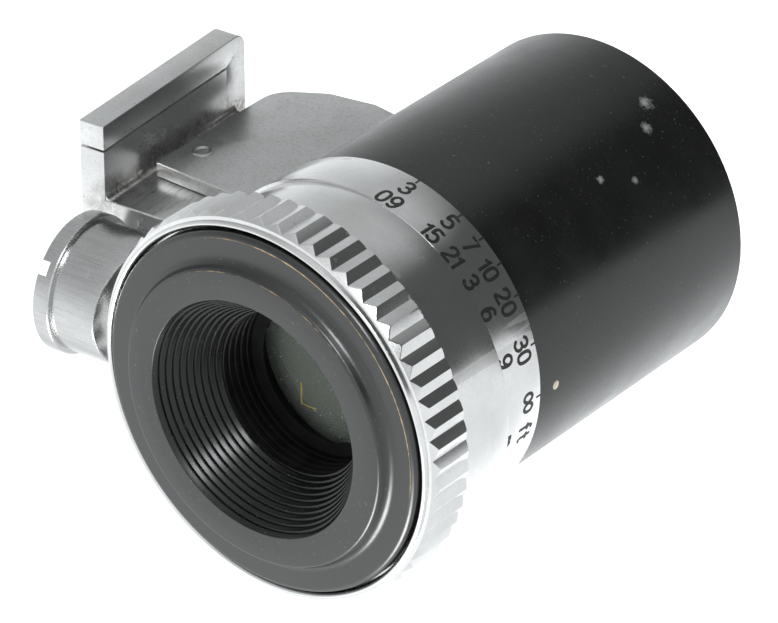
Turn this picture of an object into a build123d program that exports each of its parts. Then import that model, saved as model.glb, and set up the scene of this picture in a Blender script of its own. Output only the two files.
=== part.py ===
from build123d import *
import math
import os

os.makedirs("parts", exist_ok=True)

# Clip-on optical viewfinder for an accessory shoe. Millimetres, +Z up, +Y the way the finder looks.
# The origin is the centre of the underside of the shoe foot.

DOWN = 270                 # degrees round the barrel, straight down to the foot

# ---- driving dimensions: shoe foot ----
TONGUE_WIDTH = 18.4        # across the accessory shoe
TONGUE_LENGTH = 16.6       # along the accessory shoe
TONGUE_THICK = 2.0
TONGUE_CORNER = 1.0        # rounding of the leading corners
SPRING_STRIP = 2.0         # width of the springy edge strip beside each saw slit
SLIT_WIDTH = 0.3
SLIT_END = 2.2             # solid metal left ahead of each slit
STEM_WIDTH = 7.1           # hinge block between the bracket cheeks
STEM_TOP = 9.3             # top of the hinge block above the underside of the foot
STEM_LENGTH = 15.4
STEM_ROOT_FILLET = 0.5
EDGE_BREAK = 0.2

# ---- driving dimensions: cam post behind the foot ----
POST_RADIUS = 4.6
POST_BACK = 13.2           # axis of the post behind the origin
POST_UNDERSIDE = 4.55      # lower end of the post above the underside of the foot
POST_RING_GAP = 1.55       # saddle cut of the post clears the knurl by this much
ARM_WIDTH = 3.2            # web joining the post to the hinge block
SCREW_HEAD_RADIUS = 4.95
SCREW_HEAD_THICK = 1.35
SCREW_SHANK_RADIUS = 2.2
SCREW_SHANK_LENGTH = 2.4
SCREW_SLOT_WIDTH = 1.0
SCREW_SLOT_DEPTH = 0.75
SCREW_SLOT_ANGLE = -37.0   # degrees from fore-and-aft, where the factory left it
HEAD_RELIEF = 0.4          # scallop in the back of the foot round the screw head
WASHER_THICK = 0.2
FOLLOWER_RADIUS = 1.35
FOLLOWER_FLANGE_RADIUS = 2.1
FOLLOWER_FLANGE_THICK = 0.8
FOLLOWER_DOME_RADIUS = 3.0
FOLLOWER_GAP = 0.03        # between the domed tip and the cam

# ---- driving dimensions: optical axis ----
EYE_BACK = 20.5            # eyepiece rim plane behind the origin
BARREL_CLEAR = 11.05       # underside of the barrel, at the rim plane, above the underside of the foot
REST_TILT = 5.0            # degrees, nose up, with the ring set to infinity

# ---- driving dimensions: barrel, all stations are distances ahead of the eyepiece rim plane ----
BARREL_RADIUS = 12.2
BARREL_END = 36.75
SLEEVE_RADIUS = 11.2       # rear part of the barrel that carries the ring
RING_END = 13.75           # forward end of the distance ring
WASHER_RING_THICK = 0.12   # friction washer between the ring and the barrel shoulder
CELL_BORE_RADIUS = 10.4
BARREL_BORE_RADIUS = 11.2
STOP_LAND_RADIUS = 9.6
STOP_LAND_LENGTH = 1.6

# ---- driving dimensions: distance ring ----
KNURL_RADIUS = 14.05
KNURL_DEPTH = 0.28
KNURL_TEETH = 60
KNURL_START = 1.05
KNURL_END = 4.25
KNURL_BEVEL_DEPTH = 0.3
KNURL_BEVEL_LENGTH = 0.6
LIP_RADIUS = 13.45
LIP_START = 0.35
RING_FACE = 1.5            # counterbore floor behind the bezel flange
SCALE_START = 9.7
SCALE_RADIUS = 12.5
CAM_RADIUS = 12.8          # eccentric land that lifts the eyepiece end
CAM_THROW = 0.42
RING_TURN = 79.0           # degrees, from the infinity mark to the closest mark
FRONT_BREAK = 0.15

# ---- driving dimensions: eyepiece bezel ----
BEZEL_RADIUS = 12.9
BEZEL_THICK = 1.3
CROWN_RADIUS = 10.45       # raised inner land
CROWN_HEIGHT = 0.85
CROWN_ROOT_RADIUS = 10.95
MOUTH_RADIUS = 8.5
THROAT_RADIUS = 5.9
THROAT_STATION = 3.4
RIDGES = 9
RIDGE_DEPTH = 0.3
BEZEL_SPIGOT_END = 7.2
SPIGOT_INNER_RADIUS = 7.2
THROAT_LENGTH = 3.2

# ---- driving dimensions: optics ----
CELL_START = 7.4
CELL_END = 13.1
CELL_LIP = 0.6
CELL_APERTURE = 6.2
EYE_LENS_RADIUS = 8.4
FRAME_GLASS_THICK = 0.7
EYE_LENS_EDGE = 1.1
EYE_LENS_CROWN = 0.9
EYE_RETAINER_THICK = 1.0
RETAINER_RIM = 1.3
RETAINER_SLOT = 0.8
SPACER_WALL = 0.8
OBJECTIVE_START = 31.2
OBJECTIVE_EDGE = 2.8
OBJECTIVE_HOLLOW = 0.8
OBJECTIVE_RETAINER_THICK = 1.1

# ---- driving dimensions: hinge bracket ----
CHEEK_THICK = 1.1
CHEEK_REAR = 14.87         # station of the rear edge
CHEEK_FRONT = 30.7
CHEEK_DEPTH = 9.5          # lower edge below the barrel
CHEEK_CORNER = 3.2
CHEEK_RAKE = 0.9           # lean of the front edge
SADDLE_THICK = 1.1
HINGE_STATION = 18.1
HINGE_DEPTH = 7.9          # hinge below the barrel
HINGE_PIN_RADIUS = 0.8
PIN_PROUD = 0.1
BRACKET_SCREW_STATIONS = (16.9, 28.6)
BRACKET_SCREW_RADIUS = 0.7
BRACKET_SCREW_HEAD = 1.35
BRACKET_SLOT_WIDTH = 0.35
BRACKET_SLOT_DEPTH = 0.3

# ---- driving dimensions: small pieces ----
STOP_PIN_RADIUS = 0.5
STOP_PIN_STATION = 11.8
STOP_PIN_STANDOUT = 0.45
STOP_PIN_ANGLE = 270.0     # degrees round the axis, 0 at +X, 90 at the top
STOP_PIN_END_GAP = 0.1     # play at each end of the stop groove
STOP_GROOVE_WIDTH = 1.3
STOP_GROOVE_DEPTH = 0.65
INDEX_STATION = 15.8
INDEX_ANGLE = 87.0
INDEX_RADIUS = 0.3
INDEX_LENGTH = 0.6
SPRING_WIRE_RADIUS = 0.22
SPRING_COIL_RADIUS = 1.15
SPRING_TURNS = 5
SPRING_Y = 4.4
SPRING_SEAT = 3.4

# ---- clearances ----
RUNNING = 0.05             # radial, turning fits
PIN_RUNNING = 0.03         # radial, hinge pin in the block
SIDE_GAP = 0.05            # each side of the hinge block
SEAT_GAP = 0.02            # faces that slide on each other
BEZEL_RING_GAP = 0.12      # radial, fixed bezel inside the turning lip
CUT = 40.0                 # reach of a cut that goes right through

# ---- heights that follow the barrel radius ----
EYE_HEIGHT = BARREL_RADIUS + BARREL_CLEAR
CHEEK_DROP = BARREL_RADIUS + CHEEK_DEPTH
HINGE_DROP = BARREL_RADIUS + HINGE_DEPTH

# ---- the tilted optical frame ----
tilt = math.radians(REST_TILT)
EYE = Vector(0, -EYE_BACK, EYE_HEIGHT)
AHEAD = Vector(0, math.cos(tilt), math.sin(tilt))
UP = Vector(0, -math.sin(tilt), math.cos(tilt))
RIGHT = Vector(1, 0, 0)
optical_axis = Axis(tuple(EYE), tuple(AHEAD))


def outward(angle):
    """Unit vector square to the optical axis, 0 degrees at +X and 90 at the top."""
    turn = math.radians(angle)
    return RIGHT * math.cos(turn) + UP * math.sin(turn)


def section(angle=90.0):
    """Plane through the optical axis: local x is the station, local y the radius."""
    return Plane(origin=EYE, x_dir=AHEAD, z_dir=AHEAD.cross(outward(angle)))


def station(distance):
    """Plane across the optical axis, local y up and local z ahead."""
    return Plane(origin=EYE + AHEAD * distance, x_dir=RIGHT * -1, z_dir=AHEAD)


def radial(distance, angle, radius=0.0):
    """Plane whose local z points outward from the optical axis at a station."""
    return Plane(origin=EYE + AHEAD * distance + outward(angle) * radius, x_dir=AHEAD, z_dir=outward(angle))


def at_angle(radius, angle):
    """Local coordinates on a station plane of a point at this radius and angle."""
    turn = math.radians(angle)
    return (-radius * math.cos(turn), radius * math.sin(turn))


# ---- derived sizes ----
tongue_rear = -TONGUE_LENGTH / 2
slit_x = TONGUE_WIDTH / 2 - SPRING_STRIP
slit_length = TONGUE_LENGTH - SLIT_END
cheek_inner = STEM_WIDTH / 2 + SIDE_GAP
cheek_outer = cheek_inner + CHEEK_THICK
saddle_drop = BARREL_RADIUS + SADDLE_THICK
ring_bore = SLEEVE_RADIUS + RUNNING
shoulder = RING_END + SEAT_GAP + WASHER_RING_THICK
hinge_point = EYE + AHEAD * HINGE_STATION - UP * HINGE_DROP
hinge_plane = Plane(origin=(0, hinge_point.Y, hinge_point.Z), x_dir=(0, 1, 0), z_dir=(1, 0, 0))
post_cut_radius = KNURL_RADIUS + POST_RING_GAP
screw_bore = SCREW_SHANK_RADIUS + RUNNING
follower_bore = FOLLOWER_RADIUS + RUNNING
screw_top = POST_UNDERSIDE - WASHER_THICK + SCREW_SHANK_LENGTH
follower_seat = screw_top + SEAT_GAP
cam_angle = DOWN + RING_TURN / 2 + 90      # where the cam is highest, half a turn of travel past the follower
cam_at_rest = CAM_RADIUS + CAM_THROW * math.cos(math.radians(DOWN - cam_angle))
axis_over_post = EYE_HEIGHT + (EYE_BACK - POST_BACK) * math.tan(tilt)
dome_centre = axis_over_post - (cam_at_rest + FOLLOWER_GAP + FOLLOWER_DOME_RADIUS) / math.cos(tilt)
sleeve_start = BEZEL_THICK + SEAT_GAP
land_start = CELL_END + SEAT_GAP
land_end = land_start + STOP_LAND_LENGTH
groove_radius = ring_bore + STOP_GROOVE_DEPTH
groove_margin = math.degrees((STOP_PIN_RADIUS + STOP_PIN_END_GAP) / groove_radius)
insert_radius = BARREL_BORE_RADIUS - RUNNING
cell_radius = CELL_BORE_RADIUS - RUNNING
plate_start = CELL_START + CELL_LIP + SEAT_GAP
eye_lens_start = plate_start + FRAME_GLASS_THICK + SEAT_GAP
eye_retainer_start = eye_lens_start + EYE_LENS_EDGE + SEAT_GAP
eye_clear_radius = EYE_LENS_RADIUS - RETAINER_RIM
front_clear_radius = insert_radius - RETAINER_RIM
objective_retainer_start = OBJECTIVE_START + OBJECTIVE_EDGE + SEAT_GAP

# ---- shoe foot: tongue, hinge block and cam post in one casting ----
with BuildPart() as foot:
    with BuildSketch(Plane.XY):
        Rectangle(TONGUE_WIDTH, TONGUE_LENGTH)
    extrude(amount=TONGUE_THICK)
    leading = foot.edges().filter_by(Axis.Z).group_by(Axis.Y)[-1]
    fillet(leading, TONGUE_CORNER)
    with BuildSketch(Plane.XY):
        with Locations((0, tongue_rear + STEM_LENGTH / 2)):
            Rectangle(STEM_WIDTH, STEM_LENGTH)
    extrude(amount=STEM_TOP)
    root = foot.edges().filter_by(Axis.Y).filter_by_position(Axis.Z, TONGUE_THICK, TONGUE_THICK)
    fillet(root.filter_by_position(Axis.X, -STEM_WIDTH / 2, STEM_WIDTH / 2), STEM_ROOT_FILLET)
    with BuildSketch(Plane.XY.offset(POST_UNDERSIDE)):
        with Locations((0, (tongue_rear - POST_BACK) / 2)):
            Rectangle(ARM_WIDTH, POST_BACK + tongue_rear)
        with Locations((0, -POST_BACK)):
            Circle(POST_RADIUS)
    extrude(amount=STEM_TOP)
    # saddle that lets the ring turn over the post
    with BuildSketch(station(0)):
        Circle(post_cut_radius)
    extrude(amount=CUT, mode=Mode.SUBTRACT)
    # scallop round the screw head
    with BuildSketch(Plane.XY):
        with Locations((0, -POST_BACK)):
            Circle(SCREW_HEAD_RADIUS + HEAD_RELIEF)
    extrude(amount=POST_UNDERSIDE, mode=Mode.SUBTRACT)
    # saw slits that make the edges springy
    with BuildSketch(Plane.XY):
        with Locations((-slit_x, tongue_rear), (slit_x, tongue_rear)):
            Rectangle(SLIT_WIDTH, 2 * slit_length)
    extrude(amount=TONGUE_THICK, mode=Mode.SUBTRACT)
    # bores of the cam post
    with BuildSketch(Plane.XY.offset(POST_UNDERSIDE)):
        with Locations((0, -POST_BACK)):
            Circle(follower_bore)
    extrude(amount=CUT, mode=Mode.SUBTRACT)
    with BuildSketch(Plane.XY.offset(POST_UNDERSIDE)):
        with Locations((0, -POST_BACK)):
            Circle(screw_bore)
    extrude(amount=follower_seat + FOLLOWER_FLANGE_THICK + SEAT_GAP - POST_UNDERSIDE, mode=Mode.SUBTRACT)
    # hinge bore and spring pocket
    with BuildSketch(hinge_plane):
        Circle(HINGE_PIN_RADIUS + PIN_RUNNING)
    extrude(amount=STEM_WIDTH, both=True, mode=Mode.SUBTRACT)
    with BuildSketch(Plane.XY.offset(SPRING_SEAT)):
        with Locations((0, SPRING_Y)):
            Circle(SPRING_COIL_RADIUS + SPRING_WIRE_RADIUS + 2 * RUNNING)
    extrude(amount=CUT, mode=Mode.SUBTRACT)
    sole = foot.faces().sort_by(Axis.Z)[0]
    chamfer(sole.outer_wire().edges().filter_by(Axis.X).group_by(Axis.Y)[-1], EDGE_BREAK)
foot.part.label = "foot"
export_step(foot.part, "parts/foot.step")

# ---- slotted screw that sets the height of the cam follower ----
with BuildPart() as adjusting_screw:
    head_base = POST_UNDERSIDE - WASHER_THICK - SCREW_HEAD_THICK
    with BuildSketch(Plane.XY.offset(head_base)):
        with Locations((0, -POST_BACK)):
            Circle(SCREW_HEAD_RADIUS)
    extrude(amount=SCREW_HEAD_THICK)
    chamfer(adjusting_screw.edges().filter_by(GeomType.CIRCLE), EDGE_BREAK)
    with BuildSketch(Plane.XY.offset(head_base)):
        with Locations((0, -POST_BACK)):
            Circle(SCREW_SHANK_RADIUS)
    extrude(amount=SCREW_HEAD_THICK + SCREW_SHANK_LENGTH)
    with BuildSketch(Plane.XY.offset(head_base)):
        with Locations((0, -POST_BACK)):
            Rectangle(SCREW_SLOT_WIDTH, 3 * SCREW_HEAD_RADIUS, rotation=SCREW_SLOT_ANGLE)
    extrude(amount=SCREW_SLOT_DEPTH, mode=Mode.SUBTRACT)
adjusting_screw.part.label = "adjusting_screw"
export_step(adjusting_screw.part, "parts/adjusting_screw.step")

with BuildPart() as screw_washer:
    with BuildSketch(Plane.XY.offset(POST_UNDERSIDE - WASHER_THICK)):
        with Locations((0, -POST_BACK)):
            Circle(POST_RADIUS - RUNNING)
            Circle(screw_bore, mode=Mode.SUBTRACT)
    extrude(amount=WASHER_THICK)
screw_washer.part.label = "screw_washer"
export_step(screw_washer.part, "parts/screw_washer.step")

# ---- round-ended follower that the cam rides on ----
with BuildPart() as cam_follower:
    with BuildSketch(Plane.XY.offset(dome_centre)):
        with Locations((0, -POST_BACK)):
            Circle(FOLLOWER_RADIUS)
    extrude(amount=FOLLOWER_DOME_RADIUS)
    with Locations((0, -POST_BACK, dome_centre)):
        Sphere(FOLLOWER_DOME_RADIUS, mode=Mode.INTERSECT)
    with BuildSketch(Plane.XY.offset(follower_seat)):
        with Locations((0, -POST_BACK)):
            Circle(FOLLOWER_RADIUS)
    extrude(amount=dome_centre - follower_seat)
    with BuildSketch(Plane.XY.offset(follower_seat)):
        with Locations((0, -POST_BACK)):
            Circle(FOLLOWER_FLANGE_RADIUS)
    extrude(amount=FOLLOWER_FLANGE_THICK)
cam_follower.part.label = "cam_follower"
export_step(cam_follower.part, "parts/cam_follower.step")

# ---- compression spring that keeps the cam on its follower ----
spring_top_point = EYE_HEIGHT + (EYE_BACK + SPRING_Y) * math.tan(tilt) - saddle_drop / math.cos(tilt)
spring_top = spring_top_point - SPRING_COIL_RADIUS * math.tan(tilt) - 2 * SPRING_WIRE_RADIUS
spring_base = SPRING_SEAT + 2 * SPRING_WIRE_RADIUS
with BuildPart() as return_spring:
    with BuildLine() as coil:
        Helix(
            pitch=(spring_top - spring_base) / SPRING_TURNS,
            height=spring_top - spring_base,
            radius=SPRING_COIL_RADIUS,
            center=(0, SPRING_Y, spring_base),
        )
    with BuildSketch(Plane(origin=coil.line @ 0, z_dir=coil.line % 0)):
        Circle(SPRING_WIRE_RADIUS)
    sweep(is_frenet=True)
return_spring.part.label = "return_spring"
export_step(return_spring.part, "parts/return_spring.step")

# ---- hinge bracket: two cheeks and a saddle soldered under the barrel ----
with BuildPart() as bracket:
    with BuildSketch(section()):
        with BuildLine():
            Polyline(
                (CHEEK_REAR, -CHEEK_DROP),
                (CHEEK_REAR, 0),
                (CHEEK_FRONT, 0),
                (CHEEK_FRONT, -saddle_drop - CHEEK_CORNER),
                (CHEEK_FRONT - CHEEK_RAKE, -CHEEK_DROP),
                close=True,
            )
        make_face()
    extrude(amount=cheek_outer, both=True)
    low_front = bracket.edges().filter_by(Axis.X).sort_by(lambda e: (e.center() - EYE).dot(AHEAD * 2 - UP))
    fillet(low_front[-1], CHEEK_CORNER)
    with BuildSketch(section()):
        with Locations(((CHEEK_REAR + CHEEK_FRONT) / 2, -saddle_drop - CHEEK_DROP / 2)):
            Rectangle(2 * (CHEEK_FRONT - CHEEK_REAR), CHEEK_DROP)
    extrude(amount=cheek_inner, both=True, mode=Mode.SUBTRACT)
    with BuildSketch(station(0)):
        Circle(BARREL_RADIUS)
    extrude(amount=BARREL_END, mode=Mode.SUBTRACT)
    with BuildSketch(station(0)):
        with Locations((0, BARREL_RADIUS)):
            Rectangle(4 * BARREL_RADIUS, 3 * BARREL_RADIUS)
    extrude(amount=BARREL_END, mode=Mode.SUBTRACT)
    with BuildSketch(hinge_plane):
        Circle(HINGE_PIN_RADIUS)
    extrude(amount=cheek_outer, both=True, mode=Mode.SUBTRACT)
    for place in BRACKET_SCREW_STATIONS:
        with BuildSketch(radial(place, DOWN, BARREL_RADIUS - SADDLE_THICK)):
            Circle(BRACKET_SCREW_RADIUS)
        extrude(amount=2 * SADDLE_THICK, mode=Mode.SUBTRACT)
        with BuildSketch(section(DOWN)):
            with BuildLine():
                Polyline(
                    (place, saddle_drop),
                    (place + BRACKET_SCREW_HEAD, saddle_drop),
                    (place, saddle_drop - BRACKET_SCREW_HEAD),
                    close=True,
                )
            make_face()
        revolve(axis=Axis(tuple(EYE + AHEAD * place), tuple(UP)), mode=Mode.SUBTRACT)
bracket.part.label = "bracket"
export_step(bracket.part, "parts/bracket.step")

# ---- two countersunk screws that hold the saddle to the barrel ----
with BuildPart() as bracket_screws:
    for place in BRACKET_SCREW_STATIONS:
        with BuildSketch(section(DOWN)):
            with BuildLine():
                Polyline(
                    (place, insert_radius + RUNNING + SEAT_GAP),
                    (place + BRACKET_SCREW_RADIUS, insert_radius + RUNNING + SEAT_GAP),
                    (place + BRACKET_SCREW_RADIUS, saddle_drop - BRACKET_SCREW_HEAD + BRACKET_SCREW_RADIUS),
                    (place + BRACKET_SCREW_HEAD, saddle_drop),
                    (place, saddle_drop),
                    close=True,
                )
            make_face()
        revolve(axis=Axis(tuple(EYE + AHEAD * place), tuple(UP)))
        with BuildSketch(radial(place, DOWN, saddle_drop)):
            Rectangle(2 * BRACKET_SCREW_HEAD, BRACKET_SLOT_WIDTH)
        extrude(amount=-BRACKET_SLOT_DEPTH, mode=Mode.SUBTRACT)
bracket_screws.part.label = "bracket_screws"
export_step(bracket_screws.part, "parts/bracket_screws.step")

with BuildPart() as hinge_pin:
    with BuildSketch(hinge_plane):
        Circle(HINGE_PIN_RADIUS)
    extrude(amount=cheek_outer + PIN_PROUD, both=True)
    chamfer(hinge_pin.edges().filter_by(GeomType.CIRCLE), PIN_PROUD)
hinge_pin.part.label = "hinge_pin"
export_step(hinge_pin.part, "parts/hinge_pin.step")

# ---- barrel: sleeve for the ring, shoulder, and the main tube ----
with BuildPart() as barrel_tube:
    with BuildSketch(section()):
        with BuildLine():
            Polyline(
                (sleeve_start, CELL_BORE_RADIUS),
                (sleeve_start, SLEEVE_RADIUS),
                (shoulder, SLEEVE_RADIUS),
                (shoulder, BARREL_RADIUS - FRONT_BREAK),
                (shoulder + FRONT_BREAK, BARREL_RADIUS),
                (BARREL_END - FRONT_BREAK, BARREL_RADIUS),
                (BARREL_END, BARREL_RADIUS - FRONT_BREAK),
                (BARREL_END, BARREL_BORE_RADIUS),
                (land_end, BARREL_BORE_RADIUS),
                (land_end, STOP_LAND_RADIUS),
                (land_start, STOP_LAND_RADIUS),
                (land_start, CELL_BORE_RADIUS),
                close=True,
            )
        make_face()
    revolve(axis=optical_axis)
    for place in BRACKET_SCREW_STATIONS:
        with BuildSketch(radial(place, DOWN)):
            Circle(BRACKET_SCREW_RADIUS)
        extrude(amount=2 * BARREL_RADIUS, mode=Mode.SUBTRACT)
    with BuildSketch(radial(STOP_PIN_STATION, STOP_PIN_ANGLE)):
        Circle(STOP_PIN_RADIUS)
    extrude(amount=2 * BARREL_RADIUS, mode=Mode.SUBTRACT)
    with BuildSketch(radial(INDEX_STATION, INDEX_ANGLE, BARREL_RADIUS - INDEX_LENGTH)):
        Circle(INDEX_RADIUS)
    extrude(amount=BARREL_RADIUS, mode=Mode.SUBTRACT)
barrel_tube.part.label = "barrel_tube"
export_step(barrel_tube.part, "parts/barrel_tube.step")

with BuildPart() as index_dot:
    with BuildSketch(radial(INDEX_STATION, INDEX_ANGLE, BARREL_RADIUS - INDEX_LENGTH)):
        Circle(INDEX_RADIUS)
    extrude(amount=INDEX_LENGTH)
index_dot.part.label = "index_dot"
export_step(index_dot.part, "parts/index_dot.step")

with BuildPart() as ring_stop_pin:
    with BuildSketch(radial(STOP_PIN_STATION, STOP_PIN_ANGLE, CELL_BORE_RADIUS + SEAT_GAP)):
        Circle(STOP_PIN_RADIUS)
    extrude(amount=SLEEVE_RADIUS + STOP_PIN_STANDOUT - CELL_BORE_RADIUS - SEAT_GAP)
ring_stop_pin.part.label = "ring_stop_pin"
export_step(ring_stop_pin.part, "parts/ring_stop_pin.step")

with BuildPart() as ring_washer:
    with BuildSketch(station(shoulder - WASHER_RING_THICK)):
        Circle(BARREL_RADIUS - FRONT_BREAK)
        Circle(ring_bore, mode=Mode.SUBTRACT)
    extrude(amount=WASHER_RING_THICK)
ring_washer.part.label = "ring_washer"
export_step(ring_washer.part, "parts/ring_washer.step")

# ---- distance ring: knurled grip, eccentric cam land, and the scale band ----
with BuildPart() as distance_ring:
    half_tooth = 180 / KNURL_TEETH
    crests = []
    for tooth in range(KNURL_TEETH):
        crests.append(at_angle(KNURL_RADIUS, 2 * tooth * half_tooth))
        crests.append(at_angle(KNURL_RADIUS - KNURL_DEPTH, (2 * tooth + 1) * half_tooth))
    with BuildSketch(station(KNURL_START)):
        with BuildLine():
            Polyline(*crests, close=True)
        make_face()
    extrude(amount=KNURL_END - KNURL_START)
    # bevel across the rear ends of the teeth
    with BuildSketch(section()):
        with BuildLine():
            Polyline(
                (KNURL_START, KNURL_RADIUS - KNURL_BEVEL_DEPTH),
                (KNURL_START, KNURL_RADIUS),
                (KNURL_START + KNURL_BEVEL_LENGTH, KNURL_RADIUS),
                close=True,
            )
        make_face()
    revolve(axis=optical_axis, mode=Mode.SUBTRACT)
    with BuildSketch(section()):
        with BuildLine():
            Polyline(
                (KNURL_START, SLEEVE_RADIUS),
                (LIP_START, SLEEVE_RADIUS),
                (LIP_START, LIP_RADIUS - FRONT_BREAK),
                (LIP_START + FRONT_BREAK, LIP_RADIUS),
                (KNURL_START, LIP_RADIUS),
                close=True,
            )
        make_face()
    revolve(axis=optical_axis)
    with BuildSketch(station(KNURL_END)):
        with Locations(at_angle(CAM_THROW, cam_angle)):
            Circle(CAM_RADIUS)
    extrude(amount=SCALE_START - KNURL_END)
    with BuildSketch(station(SCALE_START)):
        Circle(SCALE_RADIUS)
    extrude(amount=RING_END - SCALE_START)
    # counterbore over the bezel flange, running bore, and the groove for the stop pin
    with BuildSketch(station(LIP_START)):
        Circle(BEZEL_RADIUS + BEZEL_RING_GAP)
    extrude(amount=RING_FACE - LIP_START, mode=Mode.SUBTRACT)
    with BuildSketch(station(LIP_START)):
        Circle(ring_bore)
    extrude(amount=RING_END - LIP_START, mode=Mode.SUBTRACT)
    with BuildSketch(section(STOP_PIN_ANGLE + RING_TURN + groove_margin)):
        with Locations((STOP_PIN_STATION, ring_bore)):
            Rectangle(STOP_GROOVE_WIDTH, 2 * STOP_GROOVE_DEPTH)
    revolve(axis=optical_axis, revolution_arc=RING_TURN + 2 * groove_margin, mode=Mode.SUBTRACT)
distance_ring.part.label = "distance_ring"
export_step(distance_ring.part, "parts/distance_ring.step")

# ---- eyepiece bezel: flange, raised crown, ridged funnel, and the spigot that screws in ----
with BuildPart() as eyepiece_bezel:
    step = (THROAT_STATION + CROWN_HEIGHT) / RIDGES
    drop = (MOUTH_RADIUS - THROAT_RADIUS) / RIDGES
    funnel = []
    for ridge in range(RIDGES):
        funnel.append((-CROWN_HEIGHT + ridge * step, MOUTH_RADIUS - ridge * drop))
        funnel.append((-CROWN_HEIGHT + (ridge + 1) * step, MOUTH_RADIUS - ridge * drop - drop + RIDGE_DEPTH))
    with BuildSketch(section()):
        with BuildLine():
            Polyline(
                *funnel,
                (THROAT_STATION, THROAT_RADIUS),
                (THROAT_STATION + THROAT_LENGTH, THROAT_RADIUS),
                (THROAT_STATION + THROAT_LENGTH, SPIGOT_INNER_RADIUS),
                (BEZEL_SPIGOT_END, SPIGOT_INNER_RADIUS),
                (BEZEL_SPIGOT_END, cell_radius),
                (BEZEL_THICK, cell_radius),
                (BEZEL_THICK, BEZEL_RADIUS),
                (FRONT_BREAK, BEZEL_RADIUS),
                (0, BEZEL_RADIUS - FRONT_BREAK),
                (0, CROWN_ROOT_RADIUS),
            )
            crown = JernArc((0, CROWN_ROOT_RADIUS), (-1, 0), CROWN_ROOT_RADIUS - CROWN_RADIUS, -90)
            Polyline(crown @ 1, (-CROWN_HEIGHT, CROWN_RADIUS), (-CROWN_HEIGHT, MOUTH_RADIUS))
        make_face()
    revolve(axis=optical_axis)
eyepiece_bezel.part.label = "eyepiece_bezel"
export_step(eyepiece_bezel.part, "parts/eyepiece_bezel.step")

# ---- eye lens cell with the bright-line plate, the eye lens and its retainer ----
with BuildPart() as eye_lens_cell:
    with BuildSketch(section()):
        with BuildLine():
            Polyline(
                (CELL_START, CELL_APERTURE),
                (CELL_START, cell_radius),
                (CELL_END, cell_radius),
                (CELL_END, EYE_LENS_RADIUS + RUNNING),
                (CELL_START + CELL_LIP, EYE_LENS_RADIUS + RUNNING),
                (CELL_START + CELL_LIP, CELL_APERTURE),
                close=True,
            )
        make_face()
    revolve(axis=optical_axis)
eye_lens_cell.part.label = "eye_lens_cell"
export_step(eye_lens_cell.part, "parts/eye_lens_cell.step")

with BuildPart() as frame_plate:
    with BuildSketch(station(plate_start)):
        Circle(EYE_LENS_RADIUS)
    extrude(amount=FRAME_GLASS_THICK)
frame_plate.part.label = "frame_plate"
export_step(frame_plate.part, "parts/frame_plate.step")

with BuildPart() as eye_lens:
    with BuildSketch(section()):
        with BuildLine():
            front = eye_lens_start + EYE_LENS_EDGE
            Polyline(
                (front + EYE_LENS_CROWN, 0),
                (eye_lens_start, 0),
                (eye_lens_start, EYE_LENS_RADIUS),
                (front, EYE_LENS_RADIUS),
                (front, eye_clear_radius - RUNNING),
            )
            dome = (eye_clear_radius - RUNNING) ** 2 / (2 * EYE_LENS_CROWN) + EYE_LENS_CROWN / 2
            RadiusArc((front, eye_clear_radius - RUNNING), (front + EYE_LENS_CROWN, 0), dome)
        make_face()
    revolve(axis=optical_axis)
eye_lens.part.label = "eye_lens"
export_step(eye_lens.part, "parts/eye_lens.step")

with BuildPart() as eye_lens_retainer:
    with BuildSketch(station(eye_retainer_start)):
        Circle(EYE_LENS_RADIUS)
        Circle(eye_clear_radius, mode=Mode.SUBTRACT)
    extrude(amount=EYE_RETAINER_THICK)
    with BuildSketch(station(eye_retainer_start + EYE_RETAINER_THICK)):
        Rectangle(RETAINER_SLOT, 2 * EYE_LENS_RADIUS)
    extrude(amount=-EYE_RETAINER_THICK / 2, mode=Mode.SUBTRACT)
eye_lens_retainer.part.label = "eye_lens_retainer"
export_step(eye_lens_retainer.part, "parts/eye_lens_retainer.step")

# ---- spacer, objective lens and its retainer ----
with BuildPart() as spacer_tube:
    with BuildSketch(station(land_end + SEAT_GAP)):
        Circle(insert_radius)
        Circle(insert_radius - SPACER_WALL, mode=Mode.SUBTRACT)
    extrude(amount=OBJECTIVE_START - land_end - 2 * SEAT_GAP)
spacer_tube.part.label = "spacer_tube"
export_step(spacer_tube.part, "parts/spacer_tube.step")

with BuildPart() as objective_lens:
    with BuildSketch(section()):
        with BuildLine():
            front = OBJECTIVE_START + OBJECTIVE_EDGE
            Polyline(
                (front - OBJECTIVE_HOLLOW, 0),
                (OBJECTIVE_START, 0),
                (OBJECTIVE_START, insert_radius),
                (front, insert_radius),
                (front, front_clear_radius),
            )
            hollow = front_clear_radius**2 / (2 * OBJECTIVE_HOLLOW) + OBJECTIVE_HOLLOW / 2
            RadiusArc((front, front_clear_radius), (front - OBJECTIVE_HOLLOW, 0), -hollow)
        make_face()
    revolve(axis=optical_axis)
objective_lens.part.label = "objective_lens"
export_step(objective_lens.part, "parts/objective_lens.step")

with BuildPart() as objective_retainer:
    with BuildSketch(station(objective_retainer_start)):
        Circle(insert_radius)
        Circle(front_clear_radius, mode=Mode.SUBTRACT)
    extrude(amount=OBJECTIVE_RETAINER_THICK)
    with BuildSketch(station(objective_retainer_start + OBJECTIVE_RETAINER_THICK)):
        Rectangle(RETAINER_SLOT, 2 * BARREL_RADIUS)
    extrude(amount=-OBJECTIVE_RETAINER_THICK / 2, mode=Mode.SUBTRACT)
objective_retainer.part.label = "objective_retainer"
export_step(objective_retainer.part, "parts/objective_retainer.step")
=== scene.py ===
import math

import bmesh
import bpy
from mathutils import Matrix, Vector


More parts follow.
